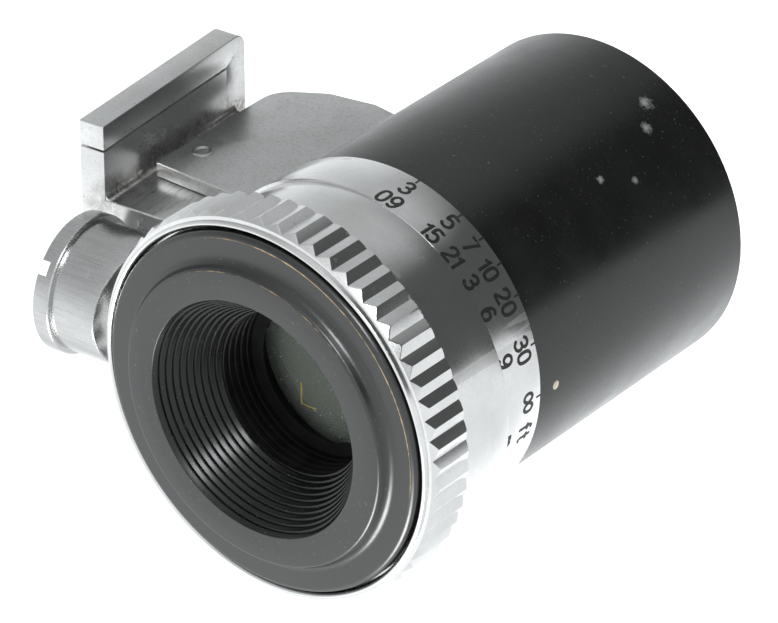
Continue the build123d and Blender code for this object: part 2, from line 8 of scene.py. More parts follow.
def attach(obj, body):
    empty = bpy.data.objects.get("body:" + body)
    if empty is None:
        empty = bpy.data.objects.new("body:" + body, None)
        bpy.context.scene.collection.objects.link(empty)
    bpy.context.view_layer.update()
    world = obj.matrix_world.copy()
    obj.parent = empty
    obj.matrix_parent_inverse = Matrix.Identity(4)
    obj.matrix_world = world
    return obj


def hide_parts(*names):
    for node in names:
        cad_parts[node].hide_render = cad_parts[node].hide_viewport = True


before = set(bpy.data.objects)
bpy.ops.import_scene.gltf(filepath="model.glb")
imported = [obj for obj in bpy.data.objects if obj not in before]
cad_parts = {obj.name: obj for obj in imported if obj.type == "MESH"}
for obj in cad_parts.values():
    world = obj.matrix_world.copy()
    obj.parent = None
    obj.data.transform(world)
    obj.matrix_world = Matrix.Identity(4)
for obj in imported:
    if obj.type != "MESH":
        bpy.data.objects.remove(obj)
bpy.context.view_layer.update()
MM = 0.001

# ---------------------------------------------------------------- sizes in millimetres that pieces share
EYE_BACK, EYE_UP = 20.5, 23.25     # where the optical axis meets the bezel's face
POST_BACK = 13.2                   # axis of the cam post behind the origin
POST_R, POST_UNDERSIDE = 4.6, 4.55
SCREW_HEAD_R, WASHER_UNDERSIDE = 4.95, 4.35
SLOT_TURN = -37.0                  # degrees of the screw slot from fore-and-aft
BARREL_R, BARREL_BORE, BARREL_END = 12.2, 11.2, 36.75
DOWN = 270                         # degrees round the barrel, straight down to the foot
TONGUE_HALF, STRIP_IN, STRIP_OUT = 9.2, 7.2, 7.35   # half width of the foot and the two sides of its saw slit
TONGUE_BACK = 8.3
STEM_HALF = 3.55

# ---------------------------------------------------------------- frames
tilt = math.radians(5.0)
EYE = Vector((0, -EYE_BACK, EYE_UP)) * MM
AHEAD = Vector((0, math.cos(tilt), math.sin(tilt)))
UP = Vector((0, -math.sin(tilt), math.cos(tilt)))
OPTICAL = Matrix(((1, 0, 0, 0), (0, AHEAD.y, UP.y, EYE.y), (0, AHEAD.z, UP.z, EYE.z), (0, 0, 0, 1)))
POST = Matrix.Translation(Vector((0, -POST_BACK, 0)) * MM)
AS_MADE = Matrix.Identity(4)         # the part's own frame

# ---------------------------------------------------------------- camera
cam_data = bpy.data.cameras.new("camera")
cam = bpy.data.objects.new("camera", cam_data)
bpy.context.collection.objects.link(cam)
CAMERA_SPOT = Vector((-0.18085, -0.25588, 0.19080))
LOOKING = Vector((0.51395, 0.71305, -0.47686))
PICTURE_RIGHT = Vector((0.00124, 0.55529, 0.83165))     # the picture is taken with the camera on its side
back = -LOOKING.normalized()
right = PICTURE_RIGHT
right = (right - back * right.dot(back)).normalized()
up = back.cross(right)
cam.matrix_world = Matrix(
    (
        (right.x, up.x, back.x, CAMERA_SPOT.x),
        (right.y, up.y, back.y, CAMERA_SPOT.y),
        (right.z, up.z, back.z, CAMERA_SPOT.z),
        (0, 0, 0, 1),
    )
)
cam_data.lens = 242.97
cam_data.sensor_width = 36
cam_data.clip_start = 0.01
cam_data.clip_end = 20
bpy.context.scene.camera = cam


# ---------------------------------------------------------------- node helpers
class Look:
    """A material with a few short calls for its nodes."""

    def __init__(self, name, **sockets):
        self.mat = bpy.data.materials.new(name)
        self.mat.use_nodes = True
        self.tree = self.mat.node_tree
        self.shader = self.tree.nodes["Principled BSDF"]
        for key, value in sockets.items():
            self.shader.inputs[key.replace("_", " ")].default_value = value
        self.coord = self.node("ShaderNodeTexCoord").outputs["Object"]

    def node(self, kind, **props):
        n = self.tree.nodes.new(kind)
        for key, value in props.items():
            setattr(n, key, value)
        return n

    def link(self, a, b):
        self.tree.links.new(a, b)

    def math(self, op, a, b=None, c=None, clamp=False):
        n = self.node("ShaderNodeMath", operation=op, use_clamp=clamp)
        for i, v in enumerate((a, b, c)):
            if v is None:
                continue
            if isinstance(v, (int, float)):
                n.inputs[i].default_value = v
            else:
                self.link(v, n.inputs[i])
        return n.outputs[0]

    def noise(self, scale, detail=3.0, rough=0.5, vector=None, stretch=None):
        vector = vector or self.coord
        if stretch:
            m = self.node("ShaderNodeMapping")
            m.inputs["Scale"].default_value = stretch
            self.link(vector, m.inputs["Vector"])
            vector = m.outputs[0]
        n = self.node("ShaderNodeTexNoise")
        n.inputs["Scale"].default_value = scale
        n.inputs["Detail"].default_value = detail
        n.inputs["Roughness"].default_value = rough
        self.link(vector, n.inputs["Vector"])
        return n.outputs["Fac"]

    def range(self, value, a, b, lo=0.0, hi=1.0):
        n = self.node("ShaderNodeMapRange", clamp=True)
        for i, v in enumerate((value, a, b, lo, hi)):
            if isinstance(v, (int, float)):
                n.inputs[i].default_value = v
            else:
                self.link(v, n.inputs[i])
        return n.outputs[0]

    def mix(self, fac, a, b):
        n = self.node("ShaderNodeMix", data_type="RGBA")
        for i, v in ((0, fac), (6, a), (7, b)):
            if isinstance(v, (tuple, float, int)):
                n.inputs[i].default_value = v
            else:
                self.link(v, n.inputs[i])
        return n.outputs[2]

    def hypot(self, a, b):
        """Square root of a * a + b * b."""
        squares = self.math("ADD", self.math("MULTIPLY", a, a), self.math("MULTIPLY", b, b))
        return self.math("SQRT", squares)

    def parts(self, vector=None):
        n = self.node("ShaderNodeSeparateXYZ")
        self.link(vector or self.coord, n.inputs[0])
        return n.outputs

    def bump(self, height, strength, distance):
        n = self.node("ShaderNodeBump")
        n.inputs["Strength"].default_value = strength
        n.inputs["Distance"].default_value = distance
        self.link(height, n.inputs["Height"])
        return n.outputs[0]

    def set(self, key, value):
        self.link(value, self.shader.inputs[key])


def grey(v, tint=(1.0, 1.0, 1.0)):
    return (v * tint[0], v * tint[1], v * tint[2], 1.0)


def turned(look, axis):
    """Fine rings round an axis of the object's own space: noise over the station and the radius."""
    x, y, z = look.parts()
    along, a, b = (y, x, z) if axis == "y" else (z, x, y)
    radius = look.hypot(a, b)
    c = look.node("ShaderNodeCombineXYZ")
    look.link(along, c.inputs[0])
    look.link(radius, c.inputs[1])
    return look.noise(9000.0, 2.0, 0.6, c.outputs[0]), along, radius


def foot_shade_and_streaks(k, tone, strength):
    """Painted shade: brown darkening, with a ragged edge, in the corners between the foot's plate and block;
    and darker streaks on the block's sides.
    """
    x, _, z = k.parts()
    side = k.math("ABSOLUTE", k.math("SUBTRACT", k.math("ABSOLUTE", x), 3.6 * MM))
    gap = k.hypot(side, k.math("SUBTRACT", z, 2.2 * MM))
    ragged = k.math("ADD", gap, k.math("MULTIPLY", k.noise(600.0, 5.0, 0.7), 6.5 * MM))
    # painted shade: brown darkening where the plate meets the block's sides, broken up by noise
    shade_patch = k.range(ragged, 3.2 * MM, 5.2 * MM, strength, 0.0)
    shade_patch = k.math("MULTIPLY", shade_patch, k.range(k.noise(2400.0, 4.0, 0.7), 0.36, 0.6))
    tone = k.mix(shade_patch, tone, (0.13, 0.095, 0.07, 1))
    # darker streaks over the block's side faces
    side_streak = k.range(k.noise(2600.0, 4.0, 0.7, stretch=(1.0, 0.12, 1.0)), 0.5, 0.66)
    block = k.math("MULTIPLY", k.range(z, 2.6 * MM, 3.4 * MM), k.range(side, 0.08 * MM, 0.03 * MM))
    streak_dark = k.math("MULTIPLY", k.math("MULTIPLY", side_streak, block), 0.6)
    return k.mix(streak_dark, tone, grey(0.11, (1.0, 0.95, 0.88)))


def chrome(name, base, rough, axis, line=0.35, wear=0.5, grain=0.35, pits=0.0, drawn=0.0, corner_shade=0.0):
    """Chrome plate with turning marks, cloudy dulling, fine scratches, blasted grain and a few pits."""
    k = Look(name, Metallic=1.0)
    rings, _, _ = turned(k, axis)
    cloud = k.noise(220.0, 4.0, 0.6)
    fine = k.noise(5200.0, 3.0, 0.65)
    scratch_a = k.range(k.noise(500.0, 2.0, 0.5, stretch=(1.0, 0.05, 1.6)), 0.69, 0.71)
    scratch_b = k.range(k.noise(640.0, 2.0, 0.5, stretch=(0.06, 1.2, 1.0)), 0.70, 0.715)
    scratches = k.math("MAXIMUM", scratch_a, scratch_b)
    dulled = grey(base * 0.7, (1.0, 0.985, 0.96))
    tone = k.mix(k.range(cloud, 0.35, 0.75, 0.0, wear), grey(base), dulled)
    tone = k.mix(k.range(fine, 0.5, 0.72, 0.0, grain), tone, grey(base * 0.55))
    if pits:
        pit = k.range(k.noise(1500.0, 2.0, 0.5), 0.70, 0.74, 0.0, pits)
        tone = k.mix(pit, tone, grey(0.12, (1.0, 0.85, 0.7)))
    streaks = k.noise(8000.0, 3.0, 0.6, stretch=(1.0, 1.0, 0.05))
    if drawn:
        tone = k.mix(k.range(streaks, 0.45, 0.75, 0.0, drawn), tone, grey(base * 0.45))
    # painted shade in the foot's corners, and darker streaks on the block's sides
    if corner_shade:
        tone = foot_shade_and_streaks(k, tone, corner_shade)
    k.set("Base Color", tone)
    dull = k.range(cloud, 0.3, 0.8, rough * 0.85, rough * 1.35)
    dull = k.math("ADD", dull, k.range(fine, 0.4, 0.7, 0.0, 0.05))
    k.set("Roughness", k.math("ADD", dull, k.math("MULTIPLY", scratches, 0.1)))
    height = k.math("ADD", k.math("MULTIPLY", rings, line), k.math("MULTIPLY", fine, grain))
    height = k.math("SUBTRACT", height, k.math("MULTIPLY", scratches, 0.4))
    if drawn:
        height = k.math("ADD", height, k.math("MULTIPLY", streaks, 0.8))
    k.set("Normal", k.bump(height, 0.5, 0.006 * MM))
    return k.mat


def worn_edge(k, x, z, along, radius, edge):
    """Lacquer gone from a round edge: (station, radius, width, middle and half spread in degrees)."""
    s, r, width, middle, spread = edge
    a = math.radians(middle)
    facing = k.math("ADD", k.math("MULTIPLY", x, math.cos(a)), k.math("MULTIPLY", z, math.sin(a)))
    facing = k.math("DIVIDE", facing, radius)
    gate = k.range(facing, math.cos(math.radians(spread)), math.cos(math.radians(spread * 0.6)))
    gap = k.hypot(k.math("SUBTRACT", along, s * MM), k.math("SUBTRACT", radius, r * MM))
    reach = k.range(k.noise(700.0, 5.0, 0.75), 0.38, 0.68, 0.25 * width * MM, width * MM)
    line = k.range(k.math("SUBTRACT", reach, gap), 0.0, 0.02 * MM)
    return k.math("MULTIPLY", line, gate)


def scuff(k, mark):
    """One pale, ragged scuff on the barrel: (station, degrees round the barrel, size)."""
    s, angle, size = mark
    a = math.radians(angle)
    spot = k.node("ShaderNodeVectorMath", operation="DISTANCE")
    k.link(k.coord, spot.inputs[0])
    spot.inputs[1].default_value = (BARREL_R * MM * math.cos(a), s * MM, BARREL_R * MM * math.sin(a))
    rag = k.range(k.noise(2600.0, 5.0, 0.75), 0.3, 0.7, -0.3 * size * MM, 0.6 * size * MM)
    return k.range(k.math("ADD", spot.outputs["Value"], rag), size * MM, 0.3 * size * MM)


def lacquer(name, edges=(), rough=0.3, chips=0.735, gloss=0.5, scuffs=()):
    """Satin black lacquer on brass: orange-peel sheen, dust, chips, scuffs and edges worn to the metal."""
    k = Look(name, Specular_IOR_Level=gloss)
    rings, along, radius = turned(k, "y")
    x, _, z = k.parts()
    cloud = k.noise(260.0, 4.0, 0.6)
    fine = k.noise(3000.0, 3.0, 0.6)
    peel = k.noise(900.0, 2.0, 0.5)
    dust = k.range(k.noise(5200.0, 1.0, 0.4), 0.73, 0.77)
    wear = k.range(k.noise(420.0, 5.0, 0.7), chips, chips + 0.015)
    for edge in edges:
        wear = k.math("MAXIMUM", wear, worn_edge(k, x, z, along, radius, edge))
    coat = k.mix(k.range(cloud, 0.3, 0.8), grey(0.004), grey(0.007, (1.0, 1.05, 1.05)))
    coat = k.mix(k.math("MULTIPLY", dust, 0.25), coat, grey(0.22))
    metal = k.mix(k.range(fine, 0.35, 0.7), (0.62, 0.46, 0.25, 1), (0.36, 0.27, 0.17, 1))
    scuffed = 0.0
    for mark in scuffs:
        scuffed = k.math("MAXIMUM", scuffed, scuff(k, mark))
    if scuffs:
        coat = k.mix(k.math("MULTIPLY", scuffed, 0.75), coat, (0.3, 0.32, 0.31, 1))
    k.set("Base Color", k.mix(wear, coat, metal))
    k.set("Metallic", wear)
    dull = k.range(cloud, 0.3, 0.8, rough * 0.85, rough * 1.3)
    k.set("Roughness", k.math("ADD", dull, k.math("MULTIPLY", wear, 0.1)))
    height = k.math("ADD", k.math("MULTIPLY", peel, 0.8), k.math("MULTIPLY", fine, 0.3))
    height = k.math("ADD", height, k.math("MULTIPLY", rings, 0.25))
    height = k.math("SUBTRACT", height, k.math("MULTIPLY", wear, 1.2))
    k.set("Normal", k.bump(height, 0.45, 0.008 * MM))
    return k.mat


def matt_black(name, base=0.014, rough=0.5, gloss=0.5):
    k = Look(name, Metallic=0.0, Specular_IOR_Level=gloss)
    rings, _, _ = turned(k, "y")
    fine = k.noise(2400.0, 3.0, 0.6)
    k.set("Base Color", k.mix(k.range(k.noise(700.0), 0.35, 0.7), grey(base), grey(base * 2.2)))
    k.set("Roughness", k.range(fine, 0.3, 0.7, rough * 0.85, rough * 1.2))
    k.set("Normal", k.bump(k.math("ADD", rings, fine), 0.4, 0.01 * MM))
    return k.mat


def steel(name, base=0.55, rough=0.28, tint=(1.0, 0.98, 0.95), axis="y"):
    k = Look(name, Metallic=1.0)
    rings, _, _ = turned(k, axis)
    cloud = k.noise(900.0, 4.0, 0.6)
    k.set("Base Color", k.mix(k.range(cloud, 0.3, 0.75), grey(base, tint), grey(base * 0.6, tint)))
    k.set("Roughness", k.range(cloud, 0.3, 0.8, rough, rough * 1.6))
    k.set("Normal", k.bump(rings, 0.5, 0.006 * MM))
    return k.mat


def glass(name, tint=(0.93, 0.95, 0.93), clear=1.0):
    k = Look(name, IOR=1.5, Transmission_Weight=clear)
    smear = k.noise(500.0, 4.0, 0.6)
    specks = k.range(k.noise(4200.0, 1.0, 0.4), 0.74, 0.78)
    k.set("Base Color", k.mix(k.math("MULTIPLY", specks, 0.5), grey(1.0, tint), grey(0.5)))
    k.set("Roughness", k.math("ADD", k.range(smear, 0.4, 0.8, 0.0, 0.05), k.math("MULTIPLY", specks, 0.3)))
    return k.mat


def paint(name, colour, rough=0.5, metallic=0.0):
    k = Look(name, Metallic=metallic)
    n = k.noise(3000.0, 3.0, 0.6)
    k.set("Base Color", k.mix(k.range(n, 0.35, 0.7), colour, tuple(c * 0.7 for c in colour[:3]) + (1.0,)))
    k.set("Roughness", k.range(n, 0.3, 0.7, rough * 0.85, rough * 1.2))
    k.set("Normal", k.bump(n, 0.4, 0.005 * MM))
    return k.mat


RING_CHROME = chrome("ring_chrome", 0.80, 0.17, "y", line=0.3, wear=0.45, grain=0.1)
POST_CHROME = chrome("post_chrome", 0.60, 0.24, "z", line=0.3, wear=0.4, grain=0.2, drawn=0.35)
# the foot's chrome carries painted shade in its corners
FOOT_CHROME = chrome("foot_chrome", 0.76, 0.28, "z", line=0.0, wear=0.6, grain=0.35, pits=0.5, corner_shade=0.75)
BRACKET_CHROME = chrome("bracket_chrome", 0.62, 0.30, "y", line=0.0, wear=0.35, grain=0.6)
BEZEL_EDGES = [(0.02, 12.52, 0.06, 140.0, 62.0), (-0.8, 10.52, 0.045, 176.0, 46.0)]
BARREL_EDGES = [(BARREL_END, BARREL_R, 0.22, 130.0, 170.0)]
SCUFFS = [(33.8, 151.0, 0.7), (32.2, 144.0, 0.55), (25.7, 138.0, 0.38), (28.4, 132.0, 0.34)]
BEZEL_BLACK = lacquer("bezel_black", BEZEL_EDGES, 0.30, 0.75, 0.9)
BARREL_BLACK = lacquer("barrel_black", BARREL_EDGES, 0.26, 0.74, 0.68, SCUFFS)
INNER_BLACK = matt_black("inner_black", 0.008, 0.6, 0.2)
RIDGE_BLACK = lacquer("ridge_black", [], 0.27, 0.8, 0.42)
THROAT_BLACK = matt_black("throat_black", 0.004, 0.6, 0.12)
STEEL = steel("steel")
BRASS = steel("brass", 0.75, 0.3, (1.0, 0.9, 0.68))
GLASS = glass("glass")
# frame plate: green-grey tinted glass whose diffuse share glows grey-green, a painted reflection in the lens
TINTED_PLATE_REFLECTION = glass("tinted_glass_painted_reflection", (0.70, 0.76, 0.69), 0.8)
FIGURE_BLACK = paint("figure_black", (0.012, 0.012, 0.012, 1.0), 0.45)
LINE_YELLOW = paint("line_yellow", (0.75, 0.55, 0.12, 1.0), 0.4)


# ---------------------------------------------------------------- mesh helpers
def solid(name, verts, faces):
    """A mesh from points in millimetres, its faces turned outward."""
    mesh = bpy.data.meshes.new(name)
    mesh.from_pydata([tuple(c * MM for c in v) for v in verts], [], faces)
    work = bmesh.new()
    work.from_mesh(mesh)
    bmesh.ops.remove_doubles(work, verts=work.verts, dist=1e-8)
    bmesh.ops.dissolve_degenerate(work, edges=work.edges, dist=1e-8)
    bmesh.ops.recalc_face_normals(work, faces=work.faces)
    work.to_mesh(mesh)
    work.free()
    mesh.update()
    return mesh


def print_facing(mesh, outward):
    """Turns each face of a flat print so that it looks along outward(centre)."""
    work = bmesh.new()
    work.from_mesh(mesh)
    work.normal_update()
    wrong = [f for f in work.faces if f.normal.dot(outward(f.calc_center_median())) < 0]
    bmesh.ops.reverse_faces(work, faces=wrong)
    work.to_mesh(mesh)
    work.free()
    mesh.update()


def piece(name, verts, faces, where, body, mat, slot, nodes=(), sharp=32.0):
    """A smooth-shaded mesh in millimetres of a local frame, riding on a CAD body."""
    mesh = solid(name, verts, faces)
    obj = bpy.data.objects.new(name, mesh)
    bpy.context.collection.objects.link(obj)
    obj.matrix_world = where
    mesh.polygons.foreach_set("use_smooth", [True] * len(mesh.polygons))
    mesh.set_sharp_from_angle(angle=math.radians(sharp))
    mesh.materials.append(mat)
    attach(obj, body)
    if nodes:
        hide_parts(*nodes)
    return obj


def rounded(points, steps=5):
    """2D points (a, b, radius) with each corner that has a radius replaced by an arc."""
    out = []
    count = len(points)
    for i, (a, b, r) in enumerate(points):
        p = Vector((a, b))
        if not r:
            out.append((a, b))
            continue
        u = Vector(points[i - 1][:2]) - p
        v = Vector(points[(i + 1) % count][:2]) - p
        u.normalize()
        v.normalize()
        half = math.acos(max(-1, min(1, u.dot(v)))) / 2
        reach = r / math.tan(half)
        centre = p + (u + v).normalized() * (r / math.sin(half))
        start = p + u * reach - centre
        end = p + v * reach - centre
        sweep = start.angle_signed(end)
        for k in range(steps + 1):
            q = Matrix.Rotation(-sweep * k / steps, 2) @ start
            out.append(tuple(centre + q))
    return out


def ring_faces(segs, n):
    """Quads between segs copies of a closed profile of n points."""
    faces = []
    for i in range(segs):
        j = (i + 1) % segs
        for k in range(n):
            m = (k + 1) % n
            faces.append((i * n + k, j * n + k, j * n + m, i * n + m))
    return faces


def lathe(profile, segs=256, shape=None, around="y"):
    """Closed profile of (station, radius) turned round the local axis.

    shape(station, radius, angle) may change the radius.
    """
    verts = []
    n = len(profile)
    for i in range(segs):
        angle = 2 * math.pi * i / segs
        for a, r in profile:
            q = shape(a, r, angle) if shape else r
            x, z = q * math.cos(angle), q * math.sin(angle)
            verts.append((x, a, z) if around == "y" else (x, z, a))
    faces = ring_faces(segs, n)
    if around == "z":
        faces = [tuple(reversed(face)) for face in faces]
    return verts, faces


def prism(outline, lo, hi, edge=0.1, steps=3):
    """Outline of (a, b), counter-clockwise, extruded along the third axis with rounded rims."""
    rims = []
    for k in range(steps + 1):
        t = math.pi / 2 * k / steps
        rims.append((edge * (1 - math.sin(t)), lo + edge * (1 - math.cos(t))))
    for k in range(steps + 1):
        t = math.pi / 2 * (1 - k / steps)
        rims.append((edge * (1 - math.sin(t)), hi - edge * (1 - math.cos(t))))
    n = len(outline)
    inward = []
    for i in range(n):
        p = Vector(outline[i])
        u = (p - Vector(outline[i - 1])).normalized()
        v = (Vector(outline[(i + 1) % n]) - p).normalized()
        nu, nv = Vector((-u.y, u.x)), Vector((-v.y, v.x))
        m = nu + nv
        m = m.normalized() if m.length > 1e-6 else nu
        inward.append(m / max(0.35, m.dot(nu)))
    verts = []
    for inset, h in rims:
        for p, m in zip(outline, inward):
            verts.append((p[0] + m.x * inset, p[1] + m.y * inset, h))
    faces = [tuple(reversed(range(n)))]
    for k in range(len(rims) - 1):
        for i in range(n):
            j = (i + 1) % n
            faces.append((k * n + i, k * n + j, (k + 1) * n + j, (k + 1) * n + i))
    faces.append(tuple((len(rims) - 1) * n + i for i in range(n)))
    return verts, faces


def merged(*shapes):
    verts, faces = [], []
    for v, f in shapes:
        base = len(verts)
        verts += v
        faces += [tuple(base + i for i in face) for face in f]
    return verts, faces


def swapped(shape, order):
    """Reorders the coordinates of a shape, keeping faces outward."""
    v, f = shape
    sign = 1 if order in ((0, 1, 2), (1, 2, 0), (2, 0, 1)) else -1
    verts = [tuple(p[i] for i in order) for p in v]
    return verts, (f if sign > 0 else [tuple(reversed(face)) for face in f])


# ---------------------------------------------------------------- distance ring
RING_BORE, RECESS = 11.25, 13.02      # bore over the barrel, and the recess that the bezel sits in
KNURL, TEETH, DEPTH = 14.05, 60, 0.28
KNURL_FRONT, KNURL_BACK = 0.65, 4.25
CAM_R, THROW, CAM_TOP, CAM_END = 12.8, 0.42, math.radians(39.5), 9.7
BAND, RING_END = 12.5, 13.75


def ring_shape(s, r, angle):
    """Cuts the knurl's teeth and makes the cam land eccentric; bores, lip and scale band stay round."""
    if r < 12.3 or s < KNURL_FRONT or s > CAM_END or (s > 9.6 and r < 12.6):
        return r
    if s <= KNURL_BACK:
        t = (angle * TEETH / (2 * math.pi)) % 1.0
        tooth = KNURL - DEPTH * abs(2 * t - 1)
        return min(tooth, r)
    x = angle - CAM_TOP
    land = THROW * math.cos(x) + math.sqrt(CAM_R**2 - (THROW * math.sin(x)) ** 2)
    return land - (CAM_R - r)


def build_ring():
    lip = [(1.5, RING_BORE), (1.5, RECESS), (0.7, 13.03), (0.5, 13.08), (0.36, 13.18), (0.31, 13.26)]
    lip += [(0.31, 13.34), (0.35, 13.42), (0.45, 13.47), (0.58, 13.48), (0.63, 13.5)]
    bevel = [(0.66, 13.7)] + [(0.67 + 0.55 * k / 14, 13.74 + 0.32 * k / 14) for k in range(15)]
    knurl = [(1.6, KNURL), (3.0, KNURL), (4.05, KNURL), (4.12, KNURL - 0.02), (4.18, KNURL - 0.07)]
    knurl += [(4.23, KNURL - 0.16), (KNURL_BACK, KNURL - 0.28), (KNURL_BACK, KNURL - 0.6)]
    cam = [(4.26, CAM_R), (4.4, CAM_R), (6.0, CAM_R), (8.0, CAM_R), (9.5, CAM_R)]
    cam += [(9.58, CAM_R - 0.02), (9.66, CAM_R - 0.1), (CAM_END, CAM_R - 0.22)]
    band = [(9.72, BAND), (11.0, BAND), (13.62, BAND), (13.7, BAND - 0.03), (13.74, BAND - 0.08)]
    band += [(RING_END, BAND - 0.14), (RING_END, RING_BORE)]
    shape = lathe(lip + bevel + knurl + cam + band, TEETH * 24, ring_shape)
    nodes = ["distance_ring"]
    piece("distance_ring_visual", *shape, OPTICAL, "ring", RING_CHROME, "bright_chrome", nodes, 24)


# ---------------------------------------------------------------- distance scale
# Strokes of each sign in a box one wide and one high.
STROKES = {
    "0": [
        [(0.5, 0.0), (0.18, 0.12), (0.08, 0.5), (0.18, 0.88), (0.5, 1.0),
         (0.82, 0.88), (0.92, 0.5), (0.82, 0.12), (0.5, 0.0)],
    ],
    "1": [[(0.05, 0.76), (0.35, 1.0), (0.35, 0.0)]],
    "2": [
        [(0.12, 0.76), (0.2, 0.93), (0.5, 1.0), (0.82, 0.92),
         (0.88, 0.7), (0.74, 0.48), (0.1, 0.0), (0.92, 0.0)],
    ],
    "3": [
        [(0.12, 0.86), (0.34, 0.99), (0.62, 0.99), (0.85, 0.86), (0.86, 0.68), (0.7, 0.55), (0.42, 0.52)],
        [(0.7, 0.55), (0.92, 0.38), (0.92, 0.18), (0.7, 0.02), (0.36, 0.0), (0.1, 0.14)],
    ],
    "5": [
        [(0.84, 1.0), (0.22, 1.0), (0.14, 0.56), (0.42, 0.64), (0.74, 0.58),
         (0.92, 0.36), (0.86, 0.12), (0.6, 0.0), (0.3, 0.0), (0.08, 0.12)],
    ],
    "6": [
        [(0.82, 0.92), (0.56, 1.0), (0.26, 0.86), (0.1, 0.5), (0.12, 0.2), (0.32, 0.02),
         (0.66, 0.0), (0.9, 0.18), (0.9, 0.42), (0.68, 0.6), (0.34, 0.56), (0.12, 0.34)],
    ],
    "7": [[(0.1, 1.0), (0.92, 1.0), (0.36, 0.0)]],
    "9": [
        [(0.18, 0.08), (0.44, 0.0), (0.74, 0.14), (0.9, 0.5), (0.88, 0.8), (0.68, 0.98),
         (0.34, 1.0), (0.1, 0.82), (0.1, 0.58), (0.32, 0.4), (0.66, 0.44), (0.88, 0.66)],
    ],
    "f": [[(0.72, 0.96), (0.56, 1.0), (0.42, 0.86), (0.42, 0.0)], [(0.2, 0.62), (0.66, 0.62)]],
    "t": [[(0.44, 0.9), (0.44, 0.14), (0.56, 0.0), (0.74, 0.03)], [(0.22, 0.62), (0.72, 0.62)]],
    "m": [
        [(0.0, 0.0), (0.0, 0.64)],
        [(0.0, 0.46), (0.16, 0.62), (0.32, 0.62), (0.46, 0.48), (0.46, 0.0)],
        [(0.46, 0.46), (0.62, 0.62), (0.8, 0.62), (0.94, 0.48), (0.94, 0.0)],
    ],
    "*": [
        [(1.0, 0.5), (1.22, 0.76), (1.5, 0.84), (1.78, 0.72), (1.86, 0.5), (1.78, 0.28),
         (1.5, 0.16), (1.22, 0.24), (1.0, 0.5), (0.78, 0.76), (0.5, 0.84), (0.22, 0.72),
         (0.14, 0.5), (0.22, 0.28), (0.5, 0.16), (0.78, 0.24), (1.0, 0.5)],
    ],
}
STRAIGHT = "17ft"                     # signs whose corners stay sharp
WIDE = {"*": 2.0, "1": 0.45, "f": 0.75, "t": 0.75, "m": 1.1}
FIGURE_HIGH, FIGURE_WIDE, STROKE, TICK = 1.25, 0.78, 0.25, 0.14
SPACE = 0.22 * FIGURE_WIDE
FEET_ROW, METRE_ROW, TICK_ROW = 12.4, 10.55, 13.5
MARKS = (
    ("3", "09", 169.0), ("5", "15", 151.7), ("7", "21", 142.2), ("10", "3", 133.0),
    ("20", "6", 122.3), ("30", "9", 106.5), ("*", "", 88.9), ("ft", "m", 78.5),
)


def smooth_line(pts, keep):
    """Catmull-Rom through the points, or the points themselves for straight-sided signs."""
    if keep or len(pts) < 4:
        return pts
    loop = pts[0] == pts[-1]
    out = []
    n = len(pts)
    for i in range(n - 1):
        a = pts[i - 1] if i else (pts[-2] if loop else pts[0])
        d = pts[i + 2] if i + 2 < n else (pts[1] if loop else pts[-1])
        b, c = pts[i], pts[i + 1]
        for k in range(5):
            t = k / 5
            point = []
            for m in (0, 1):
                square = 2 * a[m] - 5 * b[m] + 4 * c[m] - d[m]
                cube = 3 * b[m] - a[m] - 3 * c[m] + d[m]
                point.append(0.5 * (2 * b[m] + (c[m] - a[m]) * t + square * t**2 + cube * t**3))
            out.append(tuple(point))
    out.append(pts[-1])
    return out


def ribbon(line, width, place):
    """A flat stroke with round ends, its points put on the surface by place(u, v)."""
    verts, faces = [], []
    n = len(line)
    for i, p in enumerate(line):
        a = Vector(line[max(i - 1, 0)])
        b = Vector(line[min(i + 1, n - 1)])
        d = (b - a).normalized()
        side = Vector((-d.y, d.x)) * width / 2
        for q in (Vector(p) + side, Vector(p) - side):
            verts.append(place(q.x, q.y))
        if i:
            k = 2 * i
            faces.append((k - 2, k - 1, k + 1, k))
    for p in (line[0], line[-1]):
        base = len(verts)
        verts.append(place(*p))
        for k in range(12):
            t = 2 * math.pi * k / 12
            verts.append(place(p[0] + width / 2 * math.cos(t), p[1] + width / 2 * math.sin(t)))
        for k in range(12):
            faces.append((base, base + 1 + k, base + 1 + (k + 1) % 12))
    return verts, faces


def on_band(u, v):
    """Scale-band surface: u runs round the band to the reader's right, v forward."""
    angle = u / BAND
    return ((BAND + 0.006) * math.cos(angle), v, (BAND + 0.006) * math.sin(angle))


def at_mark(angle, station):
    """Place function for print centred at degrees round the band and at a station."""
    return lambda a, b: on_band(math.radians(angle) * BAND - a, station + b)


def label(text, angle, station):
    shapes = []
    total = sum(WIDE.get(c, 1.0) for c in text) * FIGURE_WIDE + SPACE * (len(text) - 1)
    u = -total / 2
    for c in text:
        for pts in STROKES[c]:
            curve = smooth_line(pts, c in STRAIGHT)
            line = [(u + x * FIGURE_WIDE, (y - 0.5) * FIGURE_HIGH) for x, y in curve]
            shapes.append(ribbon(line, STROKE, at_mark(angle, station)))
        u += WIDE.get(c, 1.0) * FIGURE_WIDE + SPACE
    return merged(*shapes)


def build_scale():
    """Feet and metre figures in plain strokes, with a tick at each mark."""
    marks = []
    for feet, metres, angle in MARKS:
        marks.append(label(feet, angle, FEET_ROW))
        marks.append(label(metres, angle, METRE_ROW))
        if feet != "ft":
            marks.append(ribbon([(0, -0.2), (0, 0.2)], TICK, at_mark(angle, TICK_ROW)))
    scale = piece("distance_scale", *merged(*marks), OPTICAL, "ring", FIGURE_BLACK, "bright_chrome")
    print_facing(scale.data, lambda c: Vector((c.x, 0, c.z)))


# ---------------------------------------------------------------- eyepiece bezel
RIDGES = 10
THROAT_R, STOP_R = 5.9, 5.0
FUNNEL_END, CROWN_FACE = 3.4, -0.85
BEZEL_R, BEZEL_BACK, SPIGOT_R, SPIGOT_END = 12.9, 1.3, 10.35, 7.2


